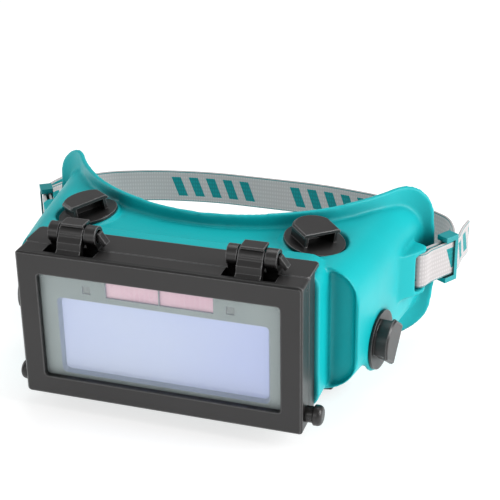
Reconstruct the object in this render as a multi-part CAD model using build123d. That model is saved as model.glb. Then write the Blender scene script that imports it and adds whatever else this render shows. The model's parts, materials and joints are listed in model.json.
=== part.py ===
"""Flip-front welding goggles with an auto-darkening cartridge, in millimetres.

The goggles look along -Y, so the front face is the lowest Y and the headband is the highest.
+X is to the right of somebody who faces the goggles, and left and right in names follow that.
Everything is drawn about the centre of the front face and moved to the part's own frame at the end:
the middle of the bounding box in plan, with Z = 0 at the lowest point.
"""

import math
import os

from build123d import *

# ---------------------------------------------------------------- driving dimensions
# Flip-front frame and the rear frame behind it, both sized for a 108 x 51 mm filter plate
FACE_HALF_WIDTH = 59.0
FACE_HALF_HEIGHT = 32.1
FACE_CORNER = 1.6
FRONT_DEPTH = 9.3
PARTING_Y = 9.65
PLATE_HALF_WIDTH = 54.0
PLATE_HALF_HEIGHT = 25.5
PLATE_PLAY = 0.2
WINDOW_HALF_WIDTH = 50.15
WINDOW_HALF_HEIGHT = 23.15
WINDOW_CORNER = 1.5
WINDOW_Z = -0.25
LIP_DEPTH = 2.5
REAR_SIDE_Y = 16.8
LEDGE_Y = 24.0
SPIGOT_END_Y = 27.0
SPIGOT_HALF_WIDTH = 57.4
SPIGOT_HALF_HEIGHT = 28.6
SPIGOT_CORNER = 3.0

# Hinges: a cam plate on the front frame between two rings on the rear frame
HINGE_CENTRES = {"left": -37.0, "right": 37.0}
HINGE_Y = 11.0
HINGE_Z = 37.4
KNUCKLE_RADIUS = 4.1
PIN_RADIUS = 1.5
BORE_RADIUS = 1.55
CAM_SPAN = (-5.5, 4.6)
LEFT_RING = (-10.3, -6.0)
RIGHT_RING = (5.1, 9.8)
HINGE_POCKET_DEPTH = 3.1
TAIL_HALF_WIDTH = 1.7

# Auto-darkening cartridge
COVER_LENS_Y = 2.55
COVER_LENS_THICKNESS = 1.0
CARTRIDGE_Y = 3.6
CARTRIDGE_SPLIT_Y = 6.3
CARTRIDGE_END_Y = 8.9
CARTRIDGE_SKIN = 0.8
LCD_HALF_WIDTH = 43.4
LCD_HALF_HEIGHT = 16.2
LCD_X = 0.6
LCD_Z = -5.2
LCD_CORNER = 2.0
LCD_SLOPE = 1.0
GLASS_BORDER = 1.8
GLASS_Y = 5.6
SOLAR_WIDTH = 22.2
SOLAR_HEIGHT = 9.0
SOLAR_X = 11.3
SOLAR_Z = 18.9
SENSOR_XS = {"left": -30.7, "right": 29.3}
SENSOR_Z = 16.7
SENSOR_SIZE = 3.4
CELL_RADIUS = 6.25
CELL_THICKNESS = 1.6

# Mask body: a soft cup with a collar for the frame, a face curve and a flared rim
WALL = 2.2
COLLAR_START_Y = 17.0
COLLAR_HALF_HEIGHT = 30.6
COLLAR_FRONT_HALF_WIDTH = 60.8
COLLAR_REAR_HALF_WIDTH = 61.6
CUP_FRONT_Y = 29.5
PANEL_Y = 31.5
CUP_SECTIONS = ((29.5, 73.5, 28.0, 16.0), (50.0, 77.0, 28.0, 16.0), (118.0, 85.5, 30.0, 16.0))
FACE_RADIUS = 82.0
FACE_CURVE_Y = 53.5
TEMPLE_RADIUS = 22.0
TEMPLE_TURN = math.radians(60.0)
NOSE_LOW_Z = -40.0
NOSE_SECTIONS = ((34.0, 8.0), (66.0, 38.5))
RIM_CORNERS = (
    ((0.0, 33.3), 60.0),
    ((87.4, 35.6), 15.0),
    ((89.8, -8.0), 60.0),
    ((86.5, -37.0), 18.0),
    ((26.0, -37.0), 6.0),
    ((13.0, -18.0), 8.0),
)

# Hooded vents, which turn on their own axes
VENT_SEAT_RADIUS = 13.6
VENT_HOLE_RADIUS = 10.1
FLANGE_RADIUS = 12.6
FLANGE_THICKNESS = 1.3
FLANGE_GAP = 0.15
NECK_RADIUS = 9.8
NECK_BORE = 7.8
NECK_LENGTH = 5.6
HOOD_RADIUS = 10.0
HOOD_HEIGHT = 7.2
HOOD_WALL = 1.4
HOOD_CHAMFER = 0.8
MOUTH_CHORD = 4.4
CAP_HALF_WIDTH = 8.7
GRIP_HALF_WIDTH = 7.6
GRIP_HEIGHT = 4.2
BAFFLE_X = (-1.8, -0.8)
BAFFLE_TOP = 4.6
AIR_HOLES = ((-5.4, 0.0), (-4.2, 3.9), (-4.2, -3.9))
AIR_HOLE_RADIUS = 1.6
RING_RADIUS = 12.2
RING_Z = (-4.2, -2.6)
VENTS = {
    "top_left": ((-49.6, 50.0, 27.4), (-0.17, -0.05, 0.98), (0.75, -0.66, 0.0)),
    "top_right": ((49.6, 50.0, 27.4), (0.17, -0.05, 0.98), (0.75, -0.66, 0.0)),
    "side_left": ((-77.0, 52.0, -14.0), (-0.99, -0.13, 0.0), (0.0, 0.8, -0.6)),
    "side_right": ((77.0, 52.0, -14.0), (0.99, -0.13, 0.0), (0.0, 0.8, -0.6)),
    "bottom_left": ((-50.6, 48.0, -30.4), (-0.12, -0.05, -0.99), (0.0, -1.0, 0.0)),
    "bottom_right": ((50.6, 48.0, -30.4), (0.12, -0.05, -0.99), (0.0, -1.0, 0.0)),
}

# Strap, its lugs and its sliders
STRAP_WIDTH = 16.0
STRAP_Z = 3.4
STRAP_THICKNESS = 1.2
LUG_BAR = (86.4, 86.8)
LUG_BAR_RADIUS = 1.6
LUG_PLATE = 2.0
LUG_PLAY = 0.4
SLIDER_CENTRE = (95.3, 100.8)
SLIDER_HALF_LENGTH = 3.6
SLIDER_HALF_HEIGHT = 10.7
SLIDER_GAP = 2.0
SLIDER_BAR = 0.8
SLIDER_BAR_LENGTH = 1.8
SLIDER_LEAD = 1.5
LAYER_OFFSET = 1.25
LOOP_CLOSED = 4.2
TAILS = {"right": [(100.2, 124.0), (98.9, 115.0)], "left": [(95.5, 122.0), (97.8, 114.5)]}
BANDS = {
    "right": [(95.6, 114.0), (91.5, 124.5), (78.0, 133.5), (56.0, 140.5), (28.0, 145.5)],
    "left": [(94.0, 112.5), (89.0, 122.5), (77.0, 132.5), (56.0, 140.5), (28.0, 145.5)],
}

# Studs on the lower corners of the flip-front: a knob to lift it by and a short button
STUD_Y = 6.2
STUD_Z = -25.5
STUD_NECK_RADIUS = 3.3
STUD_HEAD_RADIUS = 4.2
STUD_HEAD_LENGTH = 3.7
STUD_LENGTHS = {"left": 4.0, "right": 6.8}

# From the centre of the front face to the part's own frame
TO_PART_FRAME = Pos(0, -73.05, 38.72)


# ---------------------------------------------------------------- small helpers
def section(half_width, low, high, radius, y):
    """A rounded rectangle that faces along Y, at depth y."""
    outline = RectangleRounded(2 * half_width, high - low, radius)
    return Pos(0, y, (low + high) / 2) * Rot(90, 0, 0) * outline


def bar(half_width, half_height, radius, front, back, centre_z=0.0):
    """A rounded-rectangle bar from depth front to depth back."""
    outline = section(half_width, centre_z - half_height, centre_z + half_height, radius, back)
    return extrude(outline, amount=back - front, dir=(0, -1, 0))


def box_between(low, high):
    """A plain block between two opposite corners."""
    size = [b - a for a, b in zip(low, high)]
    return Pos(*low) * Box(*size, align=(Align.MIN, Align.MIN, Align.MIN))


def side_profile(points, start_x, end_x):
    """A prism along X whose outline is drawn in (Y, Z)."""
    outline = Polygon(*points, align=None)
    return extrude(Plane.YZ.offset(start_x) * outline, amount=end_x - start_x)


def rod_along_x(radius, start_x, end_x, y, z):
    """A round bar along X."""
    return Pos((start_x + end_x) / 2, y, z) * Rot(0, 90, 0) * Cylinder(radius, end_x - start_x)


def mirrored(shape):
    """The same shape on the other side of the goggles."""
    return mirror(shape, about=Plane.YZ)


# ---------------------------------------------------------------- frames
def cam_plate(centre):
    """The front frame's knuckle: an S-shaped arm, a cam round the pin and a stop tongue."""
    start = centre + CAM_SPAN[0]
    end = centre + CAM_SPAN[1]
    arm = side_profile(
        (
            (2.9, 28.6),
            (6.6, 28.6),
            (7.0, 32.4),
            (9.6, 34.2),
            (9.0, 40.6),
            (6.9, 38.6),
            (6.6, 37.6),
            (4.9, 35.6),
            (4.3, 32.9),
            (2.9, 31.7),
        ),
        start,
        end,
    )
    lip = ((8.4, 41.3), (9.9, 40.9), (14.8, 41.2), (14.7, 42.3), (8.3, 42.4))
    tongue = side_profile(lip, start + 0.6, end)
    cam = rod_along_x(KNUCKLE_RADIUS, start, end, HINGE_Y, HINGE_Z)
    bore = rod_along_x(BORE_RADIUS, start - 1, end + 1, HINGE_Y, HINGE_Z)
    return arm + cam + tongue - bore


def front_frame():
    """The flip-front: a deep bezel, open at the back for the cartridge, with two cam plates."""
    body = bar(FACE_HALF_WIDTH, FACE_HALF_HEIGHT, FACE_CORNER, 0, FRONT_DEPTH)
    body = chamfer(body.faces().sort_by(Axis.Y)[0].edges(), 0.8)
    bevel = loft(
        [
            section(
                WINDOW_HALF_WIDTH + grow,
                WINDOW_Z - WINDOW_HALF_HEIGHT - grow,
                WINDOW_Z + WINDOW_HALF_HEIGHT + grow,
                WINDOW_CORNER + grow / 2,
                depth,
            )
            for depth, grow in ((-0.1, 0.4), (0.3, 0.0))
        ],
        ruled=True,
    )
    window = bar(WINDOW_HALF_WIDTH, WINDOW_HALF_HEIGHT, WINDOW_CORNER, 0.2, FRONT_DEPTH + 1, WINDOW_Z)
    pocket = bar(
        PLATE_HALF_WIDTH + PLATE_PLAY,
        PLATE_HALF_HEIGHT + PLATE_PLAY,
        1.0,
        LIP_DEPTH,
        FRONT_DEPTH + 1,
    )
    dimple = rod_along_x(0.5, FACE_HALF_WIDTH - 0.6, FACE_HALF_WIDTH + 1, 6.6, 28.6)
    body = body - bevel - window - pocket - dimple
    for centre in HINGE_CENTRES.values():
        low = (centre + LEFT_RING[0] - 0.6, 2.4, FACE_HALF_HEIGHT - HINGE_POCKET_DEPTH)
        high = (centre + RIGHT_RING[1] + 0.8, FRONT_DEPTH + 1, FACE_HALF_HEIGHT + 1)
        body = body - box_between(low, high) + cam_plate(centre)
    return body


def hinge_ring(centre, span):
    """One of the rear frame's rings, on a web that rises from the ledge."""
    start = centre + span[0]
    end = centre + span[1]
    web = side_profile(((9.75, 31.6), (15.4, 31.6), (14.9, 36.0), (12.0, 39.0), (8.4, 35.0)), start, end)
    ring = rod_along_x(KNUCKLE_RADIUS, start, end, HINGE_Y, HINGE_Z)
    bore = rod_along_x(BORE_RADIUS, start - 1, end + 1, HINGE_Y, HINGE_Z)
    return web + ring - bore


def rear_frame():
    """The fixed frame: a window ring, a ledge over the collar and a spigot that fills the collar."""
    body = bar(FACE_HALF_WIDTH, FACE_HALF_HEIGHT, FACE_CORNER, PARTING_Y, REAR_SIDE_Y)
    ledge = box_between(
        (-FACE_HALF_WIDTH, PARTING_Y, COLLAR_HALF_HEIGHT + 0.2),
        (FACE_HALF_WIDTH, LEDGE_Y, FACE_HALF_HEIGHT),
    )
    ledge = chamfer(ledge.edges().filter_by(Axis.Z), 1.2)
    spigot = bar(SPIGOT_HALF_WIDTH, SPIGOT_HALF_HEIGHT, SPIGOT_CORNER, REAR_SIDE_Y - 1, SPIGOT_END_Y)
    window = bar(WINDOW_HALF_WIDTH, WINDOW_HALF_HEIGHT, WINDOW_CORNER, 0, SPIGOT_END_Y, WINDOW_Z)
    pocket = bar(
        PLATE_HALF_WIDTH + PLATE_PLAY,
        PLATE_HALF_HEIGHT + PLATE_PLAY,
        1.0,
        PARTING_Y + 3.6,
        SPIGOT_END_Y + 1,
    )
    body = body + ledge + spigot - window - pocket
    for centre in HINGE_CENTRES.values():
        left = hinge_ring(centre, LEFT_RING)
        mouth = Rot(39, 0, 0) * Box(6, 6, 2.3)
        mouth = Pos(centre + LEFT_RING[0] + 2.3, HINGE_Y + 3.2, HINGE_Z + 2.6) * mouth
        right = hinge_ring(centre, RIGHT_RING)
        end = centre + RIGHT_RING[1]
        recess = rod_along_x(2.7, end - 2.2, end + 1, HINGE_Y, HINGE_Z)
        body = body + (left - mouth) + (right - recess)
    return body


def hinge_pin(centre):
    """A straight pin with a flat cranked tail that slants down over the ledge."""
    end = centre + RIGHT_RING[1]
    pin = rod_along_x(PIN_RADIUS, centre + LEFT_RING[0] - 0.3, end + 0.8, HINGE_Y, HINGE_Z)
    corners = ((0.15, 39.2), (1.0, 39.0), (3.9, 35.0), (2.7, 33.6), (0.15, 36.4))
    outline = Polygon(*((end + x, z) for x, z in corners), align=None)
    tail = extrude(Plane.XZ.offset(-HINGE_Y) * outline, amount=TAIL_HALF_WIDTH, both=True)
    return pin + tail


def lift_stud(length):
    """A stud on the right side of the flip-front: a neck and a rounded head."""
    tip = FACE_HALF_WIDTH + length
    neck = rod_along_x(STUD_NECK_RADIUS, FACE_HALF_WIDTH, tip - 1, STUD_Y, STUD_Z)
    head = rod_along_x(STUD_HEAD_RADIUS, tip - STUD_HEAD_LENGTH, tip, STUD_Y, STUD_Z)
    head = fillet(head.faces().sort_by(Axis.X)[-1].edges(), 2.0)
    head = fillet(head.faces().sort_by(Axis.X)[0].edges(), 0.6)
    return neck + head


# ---------------------------------------------------------------- lenses and cartridge
def plate(front, back):
    """A full-size lens plate."""
    return bar(PLATE_HALF_WIDTH, PLATE_HALF_HEIGHT, 0.8, front, back)


def lens_retainer(front, back):
    """A spring frame that keeps a lens plate in its pocket."""
    return plate(front, back) - bar(
        WINDOW_HALF_WIDTH + 0.6, WINDOW_HALF_HEIGHT + 0.6, WINDOW_CORNER, front - 1, back + 1, WINDOW_Z
    )


def lcd_window(grow, front, back):
    """The clear opening of the shutter, or a plate somewhat larger than it."""
    plate = bar(LCD_HALF_WIDTH + grow, LCD_HALF_HEIGHT + grow, LCD_CORNER, front, back, LCD_Z)
    return Pos(LCD_X, 0, 0) * plate


def lcd_funnel():
    """The space in front of the shutter, which narrows towards it."""
    mouths = []
    for depth, grow in ((CARTRIDGE_Y - 0.1, LCD_SLOPE), (GLASS_Y, 0.0)):
        half = LCD_HALF_HEIGHT + grow
        mouths.append(section(LCD_HALF_WIDTH + grow, LCD_Z - half, LCD_Z + half, LCD_CORNER, depth))
    return Pos(LCD_X, 0, 0) * loft(mouths, ruled=True)


def cartridge_shell(front, back, skin_front, skin_back):
    """Half of the cartridge housing: a shallow tray, with its floor between two depths."""
    hollow = bar(PLATE_HALF_WIDTH - 1.2, PLATE_HALF_HEIGHT - 1.2, 0.8, front - 1, back + 1)
    floor = bar(PLATE_HALF_WIDTH - 0.6, PLATE_HALF_HEIGHT - 0.6, 0.8, skin_front, skin_back)
    return plate(front, back) - hollow + floor


def cartridge_front_shell():
    """The front half, with a sloping border round the shutter and openings above it."""
    shell = cartridge_shell(CARTRIDGE_Y, CARTRIDGE_SPLIT_Y, CARTRIDGE_Y, CARTRIDGE_Y + CARTRIDGE_SKIN)
    shell = shell + lcd_window(GLASS_BORDER, CARTRIDGE_Y, GLASS_Y) - lcd_funnel()
    openings = [(side * SOLAR_X, SOLAR_Z, SOLAR_WIDTH, SOLAR_HEIGHT) for side in (-1, 1)]
    openings += [(x, SENSOR_Z, SENSOR_SIZE, SENSOR_SIZE) for x in SENSOR_XS.values()]
    for x, z, width, height in openings:
        shell = shell - Pos(x, CARTRIDGE_Y, z) * Box(width, 4, height)
    return shell


def cartridge_rear_shell():
    """The rear half, with the opening that the wearer looks through."""
    shell = cartridge_shell(
        CARTRIDGE_SPLIT_Y, CARTRIDGE_END_Y, CARTRIDGE_END_Y - CARTRIDGE_SKIN, CARTRIDGE_END_Y
    )
    return shell - lcd_window(0, CARTRIDGE_SPLIT_Y, CARTRIDGE_END_Y + 1)


def small_block(x, z, width, height, front, back):
    """A thin rectangular piece that faces along Y."""
    return Pos(x, (front + back) / 2, z) * Box(width, back - front, height)


def cartridge_pieces():
    """Everything inside the cartridge, front to back."""
    inside = CARTRIDGE_Y + CARTRIDGE_SKIN
    pieces = {
        "filter_glass": lcd_window(GLASS_BORDER, GLASS_Y + 0.05, GLASS_Y + 0.75),
        "lcd_shutter": lcd_window(GLASS_BORDER, GLASS_Y + 0.8, GLASS_Y + 1.7),
        "rear_glass": lcd_window(GLASS_BORDER, GLASS_Y + 1.75, GLASS_Y + 2.45),
        "circuit_board": small_block(0, 18.4, 100, 11.0, inside + 0.95, inside + 1.45),
    }
    for name, side in (("left", -1), ("right", 1)):
        pieces[f"solar_cell_{name}"] = small_block(
            side * SOLAR_X, SOLAR_Z, SOLAR_WIDTH + 0.2, SOLAR_HEIGHT + 0.6, inside + 0.05, inside + 0.9
        )
        pieces[f"arc_sensor_{name}"] = small_block(
            SENSOR_XS[name], SENSOR_Z, SENSOR_SIZE - 0.3, SENSOR_SIZE - 0.3, inside - 0.4, inside + 0.9
        )
        coin = Rot(90, 0, 0) * Cylinder(CELL_RADIUS - 0.6, CELL_THICKNESS)
        pieces[f"button_cell_{name}"] = Pos(side * 41.5, inside + 1.5 + CELL_THICKNESS / 2, 18.5) * coin
    return pieces


# ---------------------------------------------------------------- mask body
def cup(inset):
    """The soft cup, drawn in by inset on every side."""
    return loft(
        [section(w - inset, inset - h, h - inset, r - inset, y) for y, w, h, r in CUP_SECTIONS], ruled=True
    )


def face_space(offset):
    """The wearer's face seen from above, moved forward by offset, as a tall prism."""
    radius = FACE_RADIUS + offset
    temple = TEMPLE_RADIUS - offset
    centre_y = FACE_CURVE_Y + FACE_RADIUS
    side_x = radius * math.sin(TEMPLE_TURN)
    side_y = centre_y - radius * math.cos(TEMPLE_TURN)
    tip_x = side_x + temple * math.sin(TEMPLE_TURN)
    tip_y = side_y + temple * (1 - math.cos(TEMPLE_TURN))
    half = TEMPLE_TURN / 2
    mid_x = tip_x - temple * math.sin(half)
    mid_y = tip_y - temple * (1 - math.cos(half))
    outline = [
        ThreePointArc((-side_x, side_y), (0, centre_y - radius), (side_x, side_y)),
        ThreePointArc((side_x, side_y), (mid_x, mid_y), (tip_x, tip_y)),
        Polyline((tip_x, tip_y), (120, tip_y), (120, 200), (-120, 200), (-120, tip_y), (-tip_x, tip_y)),
        ThreePointArc((-tip_x, tip_y), (-mid_x, mid_y), (-side_x, side_y)),
    ]
    return extrude(make_face(Curve() + outline), amount=60, both=True)


def nose_space(growth):
    """The bridge of the nose: a widening arch under the cup."""
    return loft(
        [
            Pos(0, y, NOSE_LOW_Z) * Rot(90, 0, 0) * Circle(radius + growth)
            for y, radius in NOSE_SECTIONS
        ]
    )


def rim_prism():
    """The outline of the flared rim seen from behind, as a bar along Y."""
    corners = [*RIM_CORNERS, *(((-x, z), radius) for (x, z), radius in RIM_CORNERS[:0:-1])]
    points = [point for point, _ in corners]
    radii = [radius for _, radius in corners]
    outline = make_face(FilletPolyline(*points, radius=radii, close=True))
    return extrude(Pos(0, 130, 0) * Rot(90, 0, 0) * outline, amount=110, dir=(0, -1, 0))


def vent_plane(name):
    """A vent's own frame: origin in its seat, Z outward and X towards its mouth."""
    centre, normal, mouth = VENTS[name]
    return Plane(origin=centre, x_dir=mouth, z_dir=normal)


def disc(radius, low, high):
    """A round disc about the local Z axis, between two heights."""
    return Pos(0, 0, (low + high) / 2) * Cylinder(radius, high - low)


def lug():
    """A strap lug on the side wall: a ramp, two plates and a round bar between them."""
    half = STRAP_WIDTH / 2 + LUG_PLAY
    bar_x, bar_y = LUG_BAR
    outline = Polygon(
        (75.5, 70.0),
        (79.2, 71.5),
        (86.0, 79.5),
        (88.8, 84.0),
        (88.8, 87.6),
        (86.8, 89.2),
        (79.8, 92.0),
        align=None,
    )
    block = extrude(Pos(0, 0, STRAP_Z) * outline, amount=half + LUG_PLATE, both=True)
    gap_outline = Polygon(
        (83.4, 78.8), (86.2, 80.2), (90.5, 84.0), (90.5, 94.0), (81.9, 94.0), (81.9, 81.0), align=None
    )
    gap = extrude(Pos(0, 0, STRAP_Z) * gap_outline, amount=half, both=True)
    bar_solid = Pos(bar_x, bar_y, STRAP_Z) * Cylinder(LUG_BAR_RADIUS, 2 * half + 1)
    return block - gap + bar_solid


def mask_body():
    """The soft mask: cup, collar, vent seats, nose arch, flared rim and strap lugs."""
    outer = cup(0)
    inner = cup(WALL)
    for name in VENTS:
        seat = vent_plane(name)
        outer = outer - seat * disc(VENT_SEAT_RADIUS, 0, 12) + seat * disc(VENT_SEAT_RADIUS, -5, 0)
        inner = inner - seat * disc(VENT_SEAT_RADIUS + WALL, -WALL, 12)
        inner = inner + seat * disc(VENT_SEAT_RADIUS, -9, -WALL)
    panel = bar(72.0, 25.6, 11.0, CUP_FRONT_Y - 1, PANEL_Y)
    outer = outer - panel - nose_space(0)
    front_cut = box_between((-100, 0, -60), (100, PANEL_Y + WALL, 60))
    inner = inner - front_cut - nose_space(WALL)
    collar = loft(
        [
            section(COLLAR_FRONT_HALF_WIDTH, -COLLAR_HALF_HEIGHT, COLLAR_HALF_HEIGHT, 7.0, COLLAR_START_Y),
            section(COLLAR_REAR_HALF_WIDTH, -COLLAR_HALF_HEIGHT, COLLAR_HALF_HEIGHT, 9.0, PANEL_Y + WALL),
        ],
        ruled=True,
    )
    collar_bore = bar(SPIGOT_HALF_WIDTH, SPIGOT_HALF_HEIGHT, SPIGOT_CORNER, 10, SPIGOT_END_Y)
    sight = bar(PLATE_HALF_WIDTH, PLATE_HALF_HEIGHT, 2.0, 20, PANEL_Y + 4)
    band = face_space(WALL) - face_space(0)
    flange = (band & rim_prism()) - inner
    lug_shape = lug() - inner
    body = outer + collar + lug_shape + mirrored(lug_shape) - inner - face_space(0) + flange
    body = body - collar_bore - sight
    for name in VENTS:
        body = body - vent_plane(name) * disc(VENT_HOLE_RADIUS, -9, 5)
    return body


# ---------------------------------------------------------------- vents
def vent_hood():
    """A flanged hood with a mouth on one side, two finger grips and a baffle before its air holes."""
    reach = 2 * FLANGE_RADIUS
    drum = disc(HOOD_RADIUS, 0, HOOD_HEIGHT)
    drum = drum & Pos(0, 0, HOOD_HEIGHT / 2) * Box(reach, 2 * CAP_HALF_WIDTH, HOOD_HEIGHT)
    drum = chamfer(drum.faces().sort_by(Axis.Z)[-1].edges(), HOOD_CHAMFER)
    grip = Pos(0, 0, FLANGE_THICKNESS + GRIP_HEIGHT / 2)
    drum = drum - grip * (Box(reach, reach, GRIP_HEIGHT) - Box(reach, 2 * GRIP_HALF_WIDTH, GRIP_HEIGHT))
    cavity = disc(HOOD_RADIUS - HOOD_WALL, FLANGE_THICKNESS, HOOD_HEIGHT - HOOD_WALL)
    cavity_half = GRIP_HALF_WIDTH - HOOD_WALL
    cavity = cavity & Pos(0, 0, HOOD_HEIGHT / 2) * Box(reach, 2 * cavity_half, HOOD_HEIGHT)
    baffle = box_between((BAFFLE_X[0], -GRIP_HALF_WIDTH, 1.0), (BAFFLE_X[1], GRIP_HALF_WIDTH, BAFFLE_TOP))
    mouth = box_between((MOUTH_CHORD, -20, FLANGE_THICKNESS), (20, 20, HOOD_HEIGHT + 1))
    flange = disc(FLANGE_RADIUS, FLANGE_GAP, FLANGE_THICKNESS)
    neck = disc(NECK_RADIUS, -NECK_LENGTH, FLANGE_GAP) - disc(NECK_BORE, -NECK_LENGTH - 1, FLANGE_GAP)
    hood = drum - cavity - mouth + baffle + flange
    holes = Locations(*AIR_HOLES) * disc(AIR_HOLE_RADIUS, -1, FLANGE_THICKNESS + 0.1)
    return hood - disc(FLANGE_RADIUS + 1, -1, FLANGE_GAP) + neck - holes


def vent_ring():
    """The ring that snaps on the neck inside the mask."""
    return disc(RING_RADIUS, *RING_Z) - disc(NECK_RADIUS + 0.05, RING_Z[0] - 1, RING_Z[1] + 1)


# ---------------------------------------------------------------- strap
def strap_frame():
    """The slider's own frame on the right: X along the doubled strap, Y outward, Z down."""
    bar_x, bar_y = LUG_BAR
    along = Vector(SLIDER_CENTRE[0] - bar_x, SLIDER_CENTRE[1] - bar_y, 0).normalized()
    return Plane(origin=(*SLIDER_CENTRE, STRAP_Z), x_dir=along, z_dir=(0, 0, -1))


def strap_slider():
    """A buckle with a bar between the two layers, one outside them and one inside them."""
    outer = SLIDER_GAP + SLIDER_BAR
    end = SLIDER_HALF_LENGTH - SLIDER_BAR_LENGTH / 2
    rail_height = SLIDER_HALF_HEIGHT - STRAP_WIDTH / 2 - LUG_PLAY
    rails = [
        Pos(0, 0, side * (SLIDER_HALF_HEIGHT - rail_height / 2))
        * Box(2 * SLIDER_HALF_LENGTH, 2 * outer, rail_height)
        for side in (-1, 1)
    ]
    bars = [
        Pos(place, side * (SLIDER_GAP + SLIDER_BAR / 2), 0)
        * Box(SLIDER_BAR_LENGTH, SLIDER_BAR, 2 * SLIDER_HALF_HEIGHT)
        for place, side in ((-end, 0), (0, -1), (end, 1))
    ]
    shape = rails[0] + rails[1] + bars[0] + bars[1] + bars[2]
    return strap_frame() * shape


def strap_route(tail, band):
    """Half of the strap's centre line in plan, drawn on the right: a tail, a loop and the band."""
    frame = strap_frame()
    wrap = LUG_BAR_RADIUS + 0.3 + STRAP_THICKNESS / 2
    run = (Vector(*SLIDER_CENTRE) - Vector(*LUG_BAR)).length
    turns = [
        (SLIDER_HALF_LENGTH + SLIDER_LEAD, LAYER_OFFSET),
        (LOOP_CLOSED - run, LAYER_OFFSET),
        (0.4 - run, wrap),
        (-wrap - 0.6 - run, wrap * 0.62),
        (-wrap - 0.6 - run, -wrap * 0.62),
        (0.4 - run, -wrap),
        (LOOP_CLOSED - run, -LAYER_OFFSET),
        (SLIDER_HALF_LENGTH + SLIDER_LEAD, -LAYER_OFFSET),
    ]
    loop = [frame.from_local_coords((u, v, 0)) for u, v in turns]
    return [*tail, *((p.X, p.Y) for p in loop), *band]


def strap():
    """The elastic headband with both loops and both tails, as one flat band on edge."""
    right = strap_route(TAILS["right"], BANDS["right"])
    left = strap_route(TAILS["left"], BANDS["left"])
    points = [*right, *((-x, y) for x, y in reversed(left))]
    radii = [corner_radius(points, i) for i in range(1, len(points) - 1)]
    route = FilletPolyline(*points, radius=radii)
    start = Plane(origin=route @ 0, x_dir=(0, 0, 1), z_dir=route % 0)
    return Pos(0, 0, STRAP_Z) * sweep(start * Rectangle(STRAP_WIDTH, STRAP_THICKNESS), path=route)


def corner_radius(points, index):
    """The largest tangent arc that the two runs at a corner allow, with a little in hand."""
    before, corner, after = (Vector(*points[i]) for i in (index - 1, index, index + 1))
    turn = math.radians((corner - before).get_angle(after - corner))
    shorter = min((corner - before).length, (after - corner).length)
    return 0.45 * shorter / math.tan(turn / 2)


# ---------------------------------------------------------------- assembly
def main():
    """Build every piece and write it in the part's own frame."""
    pieces = {
        "mask_body": mask_body(),
        "rear_frame": rear_frame(),
        "front_frame": front_frame(),
        "inner_cover_lens": plate(PARTING_Y + 3.65, PARTING_Y + 4.85),
        "inner_lens_retainer": lens_retainer(PARTING_Y + 4.9, PARTING_Y + 8.4),
        "cover_lens": plate(COVER_LENS_Y, COVER_LENS_Y + COVER_LENS_THICKNESS),
        "cartridge_front_shell": cartridge_front_shell(),
        "cartridge_rear_shell": cartridge_rear_shell(),
        "cartridge_retainer": lens_retainer(CARTRIDGE_END_Y + 0.05, FRONT_DEPTH - 0.05),
        "strap": strap(),
        "strap_slider_right": strap_slider(),
        "strap_slider_left": mirrored(strap_slider()),
        "lift_stud_right": lift_stud(STUD_LENGTHS["right"]),
        "lift_stud_left": mirrored(lift_stud(STUD_LENGTHS["left"])),
    }
    pieces.update(cartridge_pieces())
    for name, centre in HINGE_CENTRES.items():
        pieces[f"hinge_pin_{name}"] = hinge_pin(centre)
    for name in VENTS:
        pieces[f"vent_hood_{name}"] = vent_plane(name) * vent_hood()
        pieces[f"vent_ring_{name}"] = vent_plane(name) * vent_ring()
    os.makedirs("parts", exist_ok=True)
    for name, shape in pieces.items():
        export_step(TO_PART_FRAME * shape, f"parts/{name}.step")


main()
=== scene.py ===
"""Looks for the flip-front welding goggles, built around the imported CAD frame, in metres."""

import json
import math

import bmesh
import bpy
from mathutils import Matrix, Vector


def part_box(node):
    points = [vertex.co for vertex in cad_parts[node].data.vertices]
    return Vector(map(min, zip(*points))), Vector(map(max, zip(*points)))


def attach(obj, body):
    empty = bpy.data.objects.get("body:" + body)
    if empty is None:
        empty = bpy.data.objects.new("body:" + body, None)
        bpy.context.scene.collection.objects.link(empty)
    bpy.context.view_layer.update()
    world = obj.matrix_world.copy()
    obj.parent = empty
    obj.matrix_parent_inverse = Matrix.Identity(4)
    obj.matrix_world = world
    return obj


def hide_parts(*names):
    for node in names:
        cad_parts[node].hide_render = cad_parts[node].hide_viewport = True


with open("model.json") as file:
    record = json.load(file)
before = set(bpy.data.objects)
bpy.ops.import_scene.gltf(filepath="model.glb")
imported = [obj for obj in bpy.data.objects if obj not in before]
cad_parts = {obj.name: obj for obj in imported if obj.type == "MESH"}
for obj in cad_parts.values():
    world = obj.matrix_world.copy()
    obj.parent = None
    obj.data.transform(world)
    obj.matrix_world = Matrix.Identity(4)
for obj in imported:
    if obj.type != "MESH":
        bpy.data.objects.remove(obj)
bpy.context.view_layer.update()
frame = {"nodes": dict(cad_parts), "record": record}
MM = 0.001
NODES = frame["nodes"]
SLOT_OF = {s["node"]: s["material_slot"] for s in frame["record"]["subparts"]}

# Colours, linear
TEAL = (0.0, 0.42, 0.45)
TEAL_LIGHT = (0.0, 0.47, 0.50)
# Painted shade: the teal's colour in its creases and hollows
TEAL_PAINTED_SHADE = (0.0, 0.16, 0.18)
TEAL_WOVEN = (0.0, 0.33, 0.35)
BLACK = (0.018, 0.017, 0.017)
# Painted highlight: the colour the black plastic's edges are lightened to
BLACK_EDGE_HIGHLIGHT = (0.30, 0.30, 0.305)
# Painted shade: the window's lip walls are drawn darker than the other black plastic
REVEAL_BLACK_PAINTED_SHADE = (0.006, 0.006, 0.006)
# Painted highlight: the colour the lip walls' edges are lightened to
REVEAL_EDGE_HIGHLIGHT = (0.03, 0.03, 0.03)
HOUSING_BLACK = (0.022, 0.022, 0.024)
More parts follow.
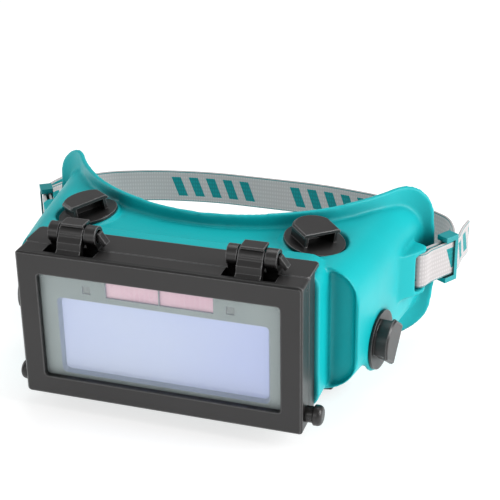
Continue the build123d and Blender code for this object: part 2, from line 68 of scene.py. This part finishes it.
# Painted highlight: the colour the cartridge housing's edges are lightened to
HOUSING_EDGE_HIGHLIGHT = (0.06, 0.06, 0.06)
TEAL_NYLON = (0.0, 0.26, 0.28)
# Painted highlight: the colour the teal slider's edges are lightened to
TEAL_NYLON_EDGE_HIGHLIGHT = (0.0, 0.42, 0.44)
STEEL_DARK = (0.30, 0.30, 0.31)
STEEL_BRIGHT = (0.72, 0.72, 0.73)
WEB_GREY = (0.64, 0.61, 0.61)
WEB_GREY_DARK = (0.50, 0.47, 0.47)


# How far the rounded edges and their painted highlight reach on the hard plastics
EDGE_RADIUS = 0.7 * MM


# ---------------------------------------------------------------- node helpers
class Shader:
    """A material's node tree with short names for what the materials below need."""

    def __init__(self, name):
        self.material = bpy.data.materials.new(name)
        self.material.use_nodes = True
        self.tree = self.material.node_tree
        self.bsdf = self.tree.nodes["Principled BSDF"]
        self.coords = self.tree.nodes.new("ShaderNodeTexCoord")

    def new(self, kind, **settings):
        node = self.tree.nodes.new("ShaderNode" + kind)
        for key, value in settings.items():
            setattr(node, key, value)
        return node

    def link(self, source, target):
        self.tree.links.new(source, target)

    def fixed(self, **values):
        """Constants on the shader's own sockets, with _ for a space."""
        for key, value in values.items():
            socket = self.bsdf.inputs[key.replace("_", " ")]
            socket.default_value = (*value, 1.0) if isinstance(value, tuple) and len(value) == 3 else value

    def place(self, scale=(1, 1, 1), turn=(0, 0, 0), output="Object"):
        mapping = self.new("Mapping")
        mapping.inputs["Scale"].default_value = scale
        mapping.inputs["Rotation"].default_value = turn
        self.link(self.coords.outputs[output], mapping.inputs["Vector"])
        return mapping.outputs["Vector"]

    def noise(self, scale, detail=3.0, roughness=0.5, vector=None):
        node = self.new("TexNoise")
        node.inputs["Scale"].default_value = scale
        node.inputs["Detail"].default_value = detail
        node.inputs["Roughness"].default_value = roughness
        self.link(vector or self.coords.outputs["Object"], node.inputs["Vector"])
        return node.outputs["Fac"]

    def wave(self, scale, axis="X", distortion=0.0, vector=None, profile="SIN"):
        node = self.new("TexWave", bands_direction=axis, wave_profile=profile)
        node.inputs["Scale"].default_value = scale
        node.inputs["Distortion"].default_value = distortion
        self.link(vector or self.coords.outputs["Object"], node.inputs["Vector"])
        return node.outputs["Fac"]

    def ramp(self, factor, stops, mode="LINEAR"):
        """Colour stops as (position, colour)."""
        node = self.new("ValToRGB")
        node.color_ramp.interpolation = mode
        elements = node.color_ramp.elements
        while len(elements) < len(stops):
            elements.new(1.0)
        for element, (position, colour) in zip(elements, stops):
            element.position = position
            element.color = (*colour, 1.0)
        self.link(factor, node.inputs["Fac"])
        return node.outputs["Color"]

    def mix(self, factor, first, second, blend="MIX"):
        """Two colours or sockets, mixed by a socket or a number."""
        node = self.new("Mix", data_type="RGBA", blend_type=blend)
        for value, socket in ((factor, node.inputs[0]), (first, node.inputs[6]), (second, node.inputs[7])):
            if hasattr(value, "links"):
                self.link(value, socket)
            else:
                socket.default_value = (*value, 1.0) if isinstance(value, tuple) else value
        return node.outputs[2]

    def math(self, operation, first, second=0.0):
        node = self.new("Math", operation=operation)
        for value, socket in ((first, node.inputs[0]), (second, node.inputs[1])):
            if hasattr(value, "links"):
                self.link(value, socket)
            else:
                socket.default_value = value
        return node.outputs[0]

    def span(self, value, low, high):
        """A 0 to 1 value stretched to low to high."""
        node = self.new("MapRange")
        node.inputs["To Min"].default_value = low
        node.inputs["To Max"].default_value = high
        self.link(value, node.inputs["Value"])
        return node.outputs["Result"]

    def bump(self, height, distance, strength=1.0, under=None):
        node = self.new("Bump")
        node.inputs["Distance"].default_value = distance
        node.inputs["Strength"].default_value = strength
        self.link(height, node.inputs["Height"])
        if under is not None:
            self.link(under, node.inputs["Normal"])
        self.link(node.outputs["Normal"], self.bsdf.inputs["Normal"])
        return node.outputs["Normal"]

    def edges(self, radius):
        """A rounded normal, and a mask that is 1 on edges sharper than that radius."""
        bevel = self.new("Bevel", samples=6)
        bevel.inputs["Radius"].default_value = radius
        flat = self.new("NewGeometry")
        dot = self.new("VectorMath", operation="DOT_PRODUCT")
        self.link(bevel.outputs["Normal"], dot.inputs[0])
        self.link(flat.outputs["Normal"], dot.inputs[1])
        sharp = self.new("MapRange")
        sharp.inputs["From Min"].default_value = 0.99
        sharp.inputs["From Max"].default_value = 0.88
        self.link(dot.outputs["Value"], sharp.inputs["Value"])
        return bevel.outputs["Normal"], sharp.outputs["Result"]

    def hollows(self, reach, low, high):
        """A mask that is 0 in creases and hollows deeper than that reach and 1 in the open, for painting
        shade into them.
        """
        node = self.new("AmbientOcclusion", samples=8)
        node.inputs["Distance"].default_value = reach
        ramp = self.new("MapRange")
        ramp.inputs["From Min"].default_value = low
        ramp.inputs["From Max"].default_value = high
        self.link(node.outputs["AO"], ramp.inputs["Value"])
        return ramp.outputs["Result"]

    def colour(self, socket):
        self.link(socket, self.bsdf.inputs["Base Color"])

    def roughness(self, socket):
        self.link(socket, self.bsdf.inputs["Roughness"])


# ---------------------------------------------------------------- materials
def teal_pvc():
    """Soft satin PVC, with a faint orange peel, cloudy colour, a few scuffs, and painted shade in its
    creases and hollows.
    """
    s = Shader("teal_pvc")
    s.fixed(Specular_IOR_Level=0.28, Subsurface_Weight=0.05)
    s.bsdf.inputs["Subsurface Radius"].default_value = (0.001, 0.004, 0.004)
    cloud = s.noise(22, 4)
    fine = s.noise(900, 2)
    base = s.ramp(cloud, [(0.35, TEAL), (0.7, TEAL_LIGHT)])
    specks = s.ramp(s.noise(420, 6, 0.7), [(0.60, (0, 0, 0)), (0.78, (0.25, 0.25, 0.25))])
    # Painted shade: creases and hollows are darkened towards the deep teal
    s.colour(s.mix(s.hollows(0.012, 0.35, 0.9), TEAL_PAINTED_SHADE, s.mix(specks, base, TEAL_LIGHT)))
    s.roughness(s.span(s.noise(60, 5), 0.34, 0.50))
    under = s.bump(s.noise(260, 3), 0.00006, 0.35)
    s.bump(fine, 0.00003, 0.5, under)
    return s.material


def black_plastic(name, base, edge_highlight, rough):
    """Moulded plastic with a spark-eroded grain, rounded edges with a patchy painted highlight, and painted
    shade in its hollows.
    """
    s = Shader(name)
    s.fixed(Specular_IOR_Level=0.5)
    normal, sharp = s.edges(EDGE_RADIUS)
    cloud = s.ramp(s.noise(35, 4), [(0.3, base), (0.75, tuple(1.25 * c for c in base))])
    # Painted highlight: sharp edges are lightened, in patches, towards the edge colour
    highlight_mask = s.math("MULTIPLY", sharp, s.span(s.noise(240, 5, 0.6), 0.35, 1.0))
    # Painted shade: hollows are darkened to a tenth of the base colour
    painted_shade = tuple(0.1 * c for c in base)
    unshaded = s.hollows(0.009, 0.45, 0.92)
    s.colour(s.mix(unshaded, painted_shade, s.mix(highlight_mask, cloud, edge_highlight)))
    s.roughness(s.span(s.noise(160, 4), rough - 0.05, rough + 0.07))
    s.bump(s.noise(1900, 3, 0.6), 0.00003, 0.55, normal)
    return s.material


def clear_plastic():
    """The clear cover plates: nearly invisible, with faint wipe marks in their gloss."""
    s = Shader("clear_polycarbonate")
    s.fixed(Base_Color=(0.93, 0.96, 0.97), Alpha=0.10, Specular_IOR_Level=0.5)
    s.roughness(s.span(s.noise(120, 5, 0.6, s.place((1, 1, 8))), 0.03, 0.12))
    s.material.surface_render_method = "BLENDED"
    return s.material


def cartridge_face():
    """The grey-green satin surround, with a painted highlight that lightens its edges."""
    s = Shader("cartridge_face")
    s.fixed(Specular_IOR_Level=0.35)
    normal, sharp = s.edges(0.0004)
    tone = s.ramp(s.noise(30, 3), [(0.3, (0.255, 0.325, 0.325)), (0.7, (0.305, 0.375, 0.370))])
    # Painted highlight: the edges are lightened halfway towards pale grey
    s.colour(s.mix(s.math("MULTIPLY", sharp, 0.5), tone, (0.42, 0.48, 0.50)))
    s.roughness(s.span(s.noise(200, 4), 0.34, 0.46))
    s.bump(s.noise(1500, 2), 0.00002, 0.4, normal)
    return s.material


def cartridge_reveal():
    """The sloping border round the shutter, in blue-grey."""
    s = Shader("cartridge_reveal")
    s.fixed(Specular_IOR_Level=0.35)
    s.colour(s.ramp(s.noise(40, 3), [(0.3, (0.27, 0.35, 0.47)), (0.7, (0.31, 0.39, 0.52))]))
    s.roughness(s.span(s.noise(200, 4), 0.34, 0.46))
    s.bump(s.noise(1500, 2), 0.00002, 0.4)
    return s.material


def filter_coating():
    """The shutter's front: a lilac coating, with a painted sheen that pales it towards one corner."""
    s = Shader("filter_coating")
    s.fixed(Specular_IOR_Level=0.6, Coat_Weight=0.5, Coat_Roughness=0.05)
    across = s.place((9.0, 0, -14.0), (0, 0, 0))
    gradient = s.new("TexGradient")
    s.link(across, gradient.inputs["Vector"])
    soft = s.math("ADD", s.span(gradient.outputs["Fac"], 0.1, 0.75), s.span(s.noise(26, 3), -0.16, 0.16))
    # Painted sheen: a gradient across the shutter pales the lilac towards one corner
    tint = s.ramp(soft, [(0.0, (0.66, 0.76, 1.0)), (0.45, (0.50, 0.60, 1.0)), (1.0, (0.74, 0.78, 1.0))])
    lines = s.span(s.wave(420, "X", 0.4), 0.0, 0.05)
    s.colour(s.mix(lines, tint, (1.0, 1.0, 1.0)))
    s.roughness(s.span(s.noise(90, 3), 0.08, 0.16))
    return s.material


def tinted_glass(name, colour, rough):
    """A tinted filter glass with a faint cloudy reflection."""
    s = Shader(name)
    s.fixed(Specular_IOR_Level=0.6, Coat_Weight=0.6, Coat_Roughness=0.06)
    pale = tuple(min(1.0, 1.5 * c + 0.03) for c in colour)
    s.colour(s.ramp(s.noise(24, 3), [(0.35, colour), (0.75, pale)]))
    s.roughness(s.span(s.noise(110, 3), rough, rough + 0.06))
    return s.material


def solar_cell():
    """Pink thin-film cells with fine scribed lines."""
    s = Shader("solar_cell")
    s.fixed(Specular_IOR_Level=0.5, Coat_Weight=0.5, Coat_Roughness=0.08)
    tint = s.ramp(s.noise(60, 3), [(0.3, (0.78, 0.45, 0.58)), (0.7, (0.92, 0.62, 0.72))])
    scribed = s.ramp(s.wave(150, "X"), [(0.0, (1, 1, 1)), (0.05, (1, 1, 1)), (0.1, (0, 0, 0))])
    s.colour(s.mix(s.math("MULTIPLY", scribed, 0.3), tint, (0.95, 0.80, 0.86)))
    s.roughness(s.span(s.noise(90, 2), 0.12, 0.22))
    return s.material


def brushed_metal(name, colour, rough):
    """Metal with fine lines along X."""
    s = Shader(name)
    s.fixed(Metallic=1.0)
    grain = s.noise(900, 3, 0.6, s.place((0.05, 1, 1)))
    s.colour(s.ramp(grain, [(0.3, tuple(0.7 * c for c in colour)), (0.7, colour)]))
    s.roughness(s.span(grain, rough - 0.06, rough + 0.1))
    s.bump(grain, 0.00002, 0.4)
    return s.material


def circuit_board():
    """Green solder mask over copper traces."""
    s = Shader("circuit_board")
    bricks = s.new("TexBrick")
    bricks.inputs["Scale"].default_value = 300
    bricks.inputs["Mortar Size"].default_value = 0.03
    bricks.inputs["Color1"].default_value = (0.02, 0.16, 0.05, 1)
    bricks.inputs["Color2"].default_value = (0.02, 0.13, 0.05, 1)
    bricks.inputs["Mortar"].default_value = (0.05, 0.30, 0.08, 1)
    s.link(s.place((1, 1, 1), (math.pi / 2, 0, 0)), bricks.inputs["Vector"])
    s.colour(bricks.outputs["Color"])
    s.roughness(s.span(s.noise(200, 2), 0.3, 0.45))
    return s.material


def webbing(name, ground, ground_dark, figure):
    """Woven elastic: ribs along it, picks across it, a selvedge line and a woven pattern of bars.

    Its UV map is in metres: U along the band and V up from its lower edge.
    """
    s = Shader(name)
    s.fixed(Specular_IOR_Level=0.15, Sheen_Weight=0.25, Sheen_Roughness=0.5)
    uv = s.place((1, 1, 1), output="UV")
    parts = s.new("SeparateXYZ")
    s.link(uv, parts.inputs[0])
    along, up = parts.outputs[0], parts.outputs[1]
    ribs = s.wave(160, "Y", 0.0, uv)
    picks = s.wave(260, "X", 0.6, uv)
    weave = s.math("MULTIPLY", ribs, picks)
    fuzz = s.noise(2600, 3, 0.6, uv)
    base = s.mix(weave, ground_dark, ground)
    base = s.mix(s.span(fuzz, 0.0, 0.35), base, ground_dark)
    slant = s.math("SUBTRACT", along, s.math("MULTIPLY", up, BAR_SLANT))
    place = s.math("MODULO", s.math("ADD", slant, 4 * PATTERN_PITCH - PATTERN_START), PATTERN_PITCH)
    bar = s.math("LESS_THAN", s.math("MODULO", place, BAR_PITCH), BAR_WIDTH)
    first = s.math("LESS_THAN", place, PATTERN_LENGTH)
    second = s.math(
        "MULTIPLY",
        s.math("GREATER_THAN", place, SECOND_GROUP),
        s.math("LESS_THAN", place, SECOND_GROUP + PATTERN_LENGTH),
    )
    group = s.math("MAXIMUM", first, second)
    from_middle = s.math("ABSOLUTE", s.math("SUBTRACT", up, STRAP_WIDTH / 2))
    inside = s.math("LESS_THAN", from_middle, BAR_HALF_HEIGHT)
    pattern = s.math("MULTIPLY", s.math("MULTIPLY", bar, group), inside)
    selvedge = s.math("GREATER_THAN", from_middle, STRAP_WIDTH / 2 - SELVEDGE)
    marked = s.math("MAXIMUM", pattern, selvedge)
    shaded = s.mix(weave, tuple(0.7 * c for c in figure), figure)
    s.colour(s.mix(marked, base, shaded))
    s.roughness(s.span(fuzz, 0.75, 0.95))
    s.bump(weave, 0.00008, 0.6)
    return s.material


def floor_material():
    """A pale studio floor with a barely visible tone."""
    s = Shader("studio_floor")
    s.fixed(Specular_IOR_Level=0.1)
    s.colour(s.ramp(s.noise(3, 2), [(0.3, (0.50, 0.50, 0.50)), (0.7, (0.52, 0.52, 0.52))]))
    s.roughness(s.span(s.noise(8, 2), 0.8, 0.9))
    s.fixed(Emission_Color=(1.0, 1.0, 1.0), Emission_Strength=0.68)
    return s.material


# The strap's woven pattern
STRAP_WIDTH = 16.0 * MM
PATTERN_PITCH = 148.0 * MM
PATTERN_START = -52.2 * MM
PATTERN_LENGTH = 38.8 * MM
SECOND_GROUP = 59.5 * MM
BAR_PITCH = 8.5 * MM
BAR_WIDTH = 4.6 * MM
BAR_HALF_HEIGHT = 4.9 * MM
BAR_SLANT = 0.35
SELVEDGE = 0.7 * MM

MATERIALS = {
    "teal_pvc": teal_pvc(),
    "black_nylon": black_plastic("black_nylon", BLACK, BLACK_EDGE_HIGHLIGHT, 0.34),
    "clear_polycarbonate": clear_plastic(),
    "spring_steel": brushed_metal("spring_steel", STEEL_DARK, 0.35),
    "cartridge_face": cartridge_face(),
    "cartridge_housing": black_plastic("cartridge_housing", HOUSING_BLACK, HOUSING_EDGE_HIGHLIGHT, 0.36),
    "filter_coating": filter_coating(),
    "lcd_glass": tinted_glass("lcd_glass", (0.30, 0.36, 0.60), 0.08),
    "green_glass": tinted_glass("green_glass", (0.03, 0.14, 0.08), 0.06),
    "circuit_board": circuit_board(),
    "solar_cell": solar_cell(),
    "arc_sensor": tinted_glass("arc_sensor", (0.13, 0.17, 0.17), 0.16),
    "cell_steel": brushed_metal("cell_steel", STEEL_BRIGHT, 0.25),
    "elastic_webbing": webbing("elastic_webbing", WEB_GREY, WEB_GREY_DARK, TEAL_WOVEN),
    "webbing_outside": webbing("webbing_outside", TEAL, TEAL_WOVEN, WEB_GREY),
    "teal_nylon": black_plastic("teal_nylon", TEAL_NYLON, TEAL_NYLON_EDGE_HIGHLIGHT, 0.34),
}


def dress_cad_nodes():
    """Each CAD node gets its slot's material."""
    for name, node in NODES.items():
        node.data.materials.clear()
        node.data.materials.append(MATERIALS[SLOT_OF[name]])


def second_material(name, material, half_width, depths):
    """Faces of a piece of the front that line its opening get a material of their own.

    They lie between two depths behind the front face, no farther from its middle than half_width.
    """
    node = NODES[name]
    node.data.materials.append(material)
    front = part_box("front_frame")[0].y
    for polygon in node.data.polygons:
        place = node.matrix_world @ polygon.center
        depth = (place.y - front) / MM
        if abs(place.x) < half_width * MM and depths[0] < depth < depths[1] and abs(polygon.normal.y) < 0.9:
            polygon.material_index = 1


# ---------------------------------------------------------------- the soft mask
def welded_copy(name, source):
    """A new object with the CAD node's mesh, its doubled vertices joined."""
    mesh = NODES[source].data.copy()
    mesh.name = name
    bm = bmesh.new()
    bm.from_mesh(mesh)
    bmesh.ops.remove_doubles(bm, verts=bm.verts, dist=1e-6)
    bm.to_mesh(mesh)
    bm.free()
    piece = bpy.data.objects.new(name, mesh)
    bpy.context.scene.collection.objects.link(piece)
    return piece


def freeze(piece):
    """The piece's modifiers become part of its mesh."""
    graph = bpy.context.evaluated_depsgraph_get()
    mesh = bpy.data.meshes.new_from_object(piece.evaluated_get(graph))
    mesh.name = piece.name
    piece.modifiers.clear()
    piece.data = mesh
    return piece


def moulded_mask():
    """The mask as one soft moulding: remeshed finely, with every edge and junction rounded."""
    piece = welded_copy("mask_moulding", "mask_body")
    remesh = piece.modifiers.new("skin", "REMESH")
    remesh.mode = "VOXEL"
    remesh.voxel_size = 0.75 * MM
    freeze(piece)
    smooth = piece.modifiers.new("round", "SMOOTH")
    smooth.factor = 0.5
    smooth.iterations = 6
    freeze(piece)
    piece.data.materials.clear()
    piece.data.materials.append(MATERIALS["teal_pvc"])
    piece.data.polygons.foreach_set("use_smooth", [True] * len(piece.data.polygons))
    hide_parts("mask_body")
    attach(piece, "mask")
    return piece


# ---------------------------------------------------------------- the strap
# Its centre line in plan, in millimetres about the middle of the front face, as the CAD has it
LUG_BAR = (86.4, 86.8)
LUG_BAR_RADIUS = 1.6
STRAP_THICKNESS = 1.2
SLIDER_CENTRE = (95.3, 100.8)
SLIDER_HALF_LENGTH = 3.6
SLIDER_LEAD = 1.5
LAYER_OFFSET = 1.25
LOOP_CLOSED = 4.2
TAILS = {"right": [(100.2, 124.0), (98.9, 115.0)], "left": [(95.5, 122.0), (97.8, 114.5)]}
BANDS = {
    "right": [(95.6, 114.0), (91.5, 124.5), (78.0, 133.5), (56.0, 140.5), (28.0, 145.5)],
    "left": [(94.0, 112.5), (89.0, 122.5), (77.0, 132.5), (56.0, 140.5), (28.0, 145.5)],
}
FACE_CENTRE_Y = -73.05


def half_route(tail, band):
    """A tail, the loop round the lug's bar and the band, on the right."""
    centre = Vector(SLIDER_CENTRE)
    along = (centre - Vector(LUG_BAR)).normalized()
    outward = Vector((along.y, -along.x))
    run = (centre - Vector(LUG_BAR)).length
    wrap = LUG_BAR_RADIUS + 0.3 + STRAP_THICKNESS / 2
    turns = [
        (SLIDER_HALF_LENGTH + SLIDER_LEAD, LAYER_OFFSET),
        (LOOP_CLOSED - run, LAYER_OFFSET),
        (0.4 - run, wrap),
        (-wrap - 0.6 - run, wrap * 0.62),
        (-wrap - 0.6 - run, -wrap * 0.62),
        (0.4 - run, -wrap),
        (LOOP_CLOSED - run, -LAYER_OFFSET),
        (SLIDER_HALF_LENGTH + SLIDER_LEAD, -LAYER_OFFSET),
    ]
    loop = [centre + along * u + outward * v for u, v in turns]
    return [Vector(p) for p in tail] + loop + [Vector(p) for p in band]


def rounded(points, step):
    """Points along the runs and the tangent arcs of a route in plan."""
    path = [points[0]]
    for before, corner, after in zip(points, points[1:], points[2:]):
        arrive = (corner - before).normalized()
        leave = (after - corner).normalized()
        turn = arrive.angle(leave)
        reach = 0.45 * min((corner - before).length, (after - corner).length)
        count = max(2, int(2 * reach / step), int(turn / 0.12))
        for i in range(count + 1):
            t = i / count
            start = corner - arrive * reach
            end = corner + leave * reach
            path.append((1 - t) ** 2 * start + 2 * t * (1 - t) * corner + t * t * end)
    path.append(points[-1])
    return path


def evenly(path, step):
    """The path resampled at about equal steps."""
    lengths = [0.0]
    for a, b in zip(path, path[1:]):
        lengths.append(lengths[-1] + (b - a).length)
    count = round(lengths[-1] / step)
    result = []
    j = 0
    for i in range(count + 1):
        goal = lengths[-1] * i / count
        while j < len(path) - 2 and lengths[j + 1] < goal:
            j += 1
        share = (goal - lengths[j]) / max(lengths[j + 1] - lengths[j], 1e-9)
        result.append(path[j].lerp(path[j + 1], min(share, 1.0)))
    return result


def strap_section():
    """Half-section points (height, depth) round the band, grey face first; ribs run along it."""
    half = STRAP_WIDTH / MM / 2
    thick = STRAP_THICKNESS / 2
    ribs = 16
    face = []
    for i in range(2 * ribs + 1):
        height = -half + 0.35 + (2 * half - 0.7) * i / (2 * ribs)
        face.append((height, thick - (0.0 if i % 2 else 0.07)))
    other = [(height, -depth) for height, depth in reversed(face)]
    top = [(half - 0.08, thick * 0.62), (half, 0.0), (half - 0.08, -thick * 0.62)]
    bottom = [(-half + 0.08, -thick * 0.62), (-half, 0.0), (-half + 0.08, thick * 0.62)]
    return face + top + other + bottom, len(face)


def webbing_band():
    """The headband, from the right tail round the head to the left tail."""
    right = half_route(TAILS["right"], BANDS["right"])
    left = half_route(TAILS["left"], BANDS["left"])
    points = right + [Vector((-p.x, p.y)) for p in reversed(left)]
    path = evenly(rounded(points, 0.6), 0.7)
    section, face_count = strap_section()
    low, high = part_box("strap")
    centre_z = (low.z + high.z) / 2
    mesh = bpy.data.meshes.new("headband")
    bm = bmesh.new()
    uv_layer = bm.loops.layers.uv.new("metres")
    rings = []
    travelled = 0.0
    places = []
    for i, point in enumerate(path):
        ahead = path[min(i + 1, len(path) - 1)]
        behind = path[max(i - 1, 0)]
        direction = (ahead - behind).normalized()
        left_normal = Vector((-direction.y, direction.x))
        if i:
            travelled += (point - path[i - 1]).length * MM
        places.append(travelled)
        ring = []
        for height, depth in section:
            x = point.x + left_normal.x * depth
            y = point.y + left_normal.y * depth + FACE_CENTRE_Y
            ring.append(bm.verts.new((x * MM, y * MM, centre_z + height * MM)))
        rings.append(ring)
    middle = places[-1] / 2
    count = len(section)
    for i in range(len(rings) - 1):
        for j in range(count):
            k = (j + 1) % count
            face = bm.faces.new((rings[i][j], rings[i][k], rings[i + 1][k], rings[i + 1][j]))
            face.smooth = True
            face.material_index = 0 if j < face_count - 1 else 1
            for loop, (ring, place) in zip(face.loops, ((i, j), (i, k), (i + 1, k), (i + 1, j))):
                height = section[place][0] * MM + STRAP_WIDTH / 2
                loop[uv_layer].uv = (places[ring] - middle, height)
    for ring in (rings[0], rings[-1][::-1]):
        cap = bm.faces.new(ring)
        cap.material_index = 1
        for loop in cap.loops:
            loop[uv_layer].uv = (0.0, 0.0)
    bmesh.ops.recalc_face_normals(bm, faces=bm.faces)
    bm.to_mesh(mesh)
    bm.free()
    piece = bpy.data.objects.new("headband", mesh)
    bpy.context.scene.collection.objects.link(piece)
    mesh.materials.append(MATERIALS["elastic_webbing"])
    mesh.materials.append(MATERIALS["webbing_outside"])
    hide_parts("strap")
    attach(piece, "mask")
    return piece


# ---------------------------------------------------------------- stage
FACE_HALF_HEIGHT = 32.1 * MM

# The camera about the middle of the front face: degrees, then millimetres aside, above and back
CAMERA_AZIMUTH = 18.40
CAMERA_ELEVATION = 25.62
CAMERA_ROLL = -0.89
CAMERA_OFFSET = (36.31, 36.24, 526.22)
CAMERA_LENS = 96.94


def face_centre():
    """The middle of the front face of the flip-front."""
    low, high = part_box("front_frame")
    return Vector(((low.x + high.x) / 2, low.y, low.z + FACE_HALF_HEIGHT))


def make_camera():
    """A long lens above and to the right of the front face's axis."""
    azimuth = math.radians(CAMERA_AZIMUTH)
    elevation = math.radians(CAMERA_ELEVATION)
    roll = math.radians(CAMERA_ROLL)
    level_part = math.cos(elevation)
    back = Vector((math.sin(azimuth) * level_part, -math.cos(azimuth) * level_part, math.sin(elevation)))
    level = Vector((math.cos(azimuth), math.sin(azimuth), 0))
    upright = back.cross(level)
    right = level * math.cos(roll) + upright * math.sin(roll)
    up = upright * math.cos(roll) - level * math.sin(roll)
    aside, above, distance = CAMERA_OFFSET
    place = face_centre() + (right * aside + up * above + back * distance) * MM
    data = bpy.data.cameras.new("camera")
    data.lens = CAMERA_LENS
    data.sensor_width = 36.0
    data.clip_start = 0.01
    camera = bpy.data.objects.new("camera", data)
    bpy.context.scene.collection.objects.link(camera)
    camera.matrix_world = Matrix.Translation(place) @ Matrix((right, up, back)).transposed().to_4x4()
    bpy.context.scene.camera = camera


def area_light(name, place, target, size, watts, colour=(1, 1, 1)):
    data = bpy.data.lights.new(name, "AREA")
    data.shape = "RECTANGLE"
    data.size, data.size_y = size
    data.energy = watts
    data.color = colour
    light = bpy.data.objects.new(name, data)
    bpy.context.scene.collection.objects.link(light)
    light.location = place
    light.rotation_euler = (Vector(target) - Vector(place)).to_track_quat("-Z", "Y").to_euler()


def make_stage():
    """A pale floor, a white surround and soft lights."""
    mesh = bpy.data.meshes.new("studio_floor")
    bm = bmesh.new()
    bmesh.ops.create_grid(bm, x_segments=8, y_segments=8, size=4.0)
    bm.to_mesh(mesh)
    bm.free()
    floor = bpy.data.objects.new("studio_floor", mesh)
    floor.location.z = -0.0002
    bpy.context.scene.collection.objects.link(floor)
    mesh.materials.append(floor_material())
    world = bpy.data.worlds.new("surround")
    world.use_nodes = True
    background = world.node_tree.nodes["Background"]
    background.inputs["Color"].default_value = (1, 1, 1, 1)
    path = world.node_tree.nodes.new("ShaderNodeLightPath")
    strength = world.node_tree.nodes.new("ShaderNodeMapRange")
    strength.inputs["To Min"].default_value = 0.34
    strength.inputs["To Max"].default_value = 1.0
    world.node_tree.links.new(path.outputs["Is Camera Ray"], strength.inputs["Value"])
    world.node_tree.links.new(strength.outputs["Result"], background.inputs["Strength"])
    bpy.context.scene.world = world
    target = (0, 0, 0.04)
    area_light("key", (0.85, 0.02, 0.42), target, (0.45, 0.5), 7.0)
    area_light("top", (-0.05, 0.30, 0.9), target, (0.6, 0.5), 3.0)
    area_light("left", (-0.8, 0.05, 0.35), target, (0.35, 0.6), 1.2)
    area_light("front", (-0.25, -0.9, 0.45), target, (0.6, 0.3), 1.5)


# The frame's lip and the cartridge's sloping border, in millimetres: half width, and depths behind the face
LIP_HALF_WIDTH = 50.6
LIP_DEPTHS = (0.35, 2.6)
FUNNEL_HALF_WIDTH = 46.0
FUNNEL_DEPTHS = (3.7, 5.5)

dress_cad_nodes()
# Painted shade: the faces lining the window's opening get a darker black than the frame
window_reveal_shade = black_plastic("window_reveal_shade", REVEAL_BLACK_PAINTED_SHADE, REVEAL_EDGE_HIGHLIGHT, 0.45)
second_material("front_frame", window_reveal_shade, LIP_HALF_WIDTH, LIP_DEPTHS)
second_material("cartridge_front_shell", cartridge_reveal(), FUNNEL_HALF_WIDTH, FUNNEL_DEPTHS)
moulded_mask()
webbing_band()
make_camera()
make_stage()
bpy.context.scene.view_settings.view_transform = "Standard"
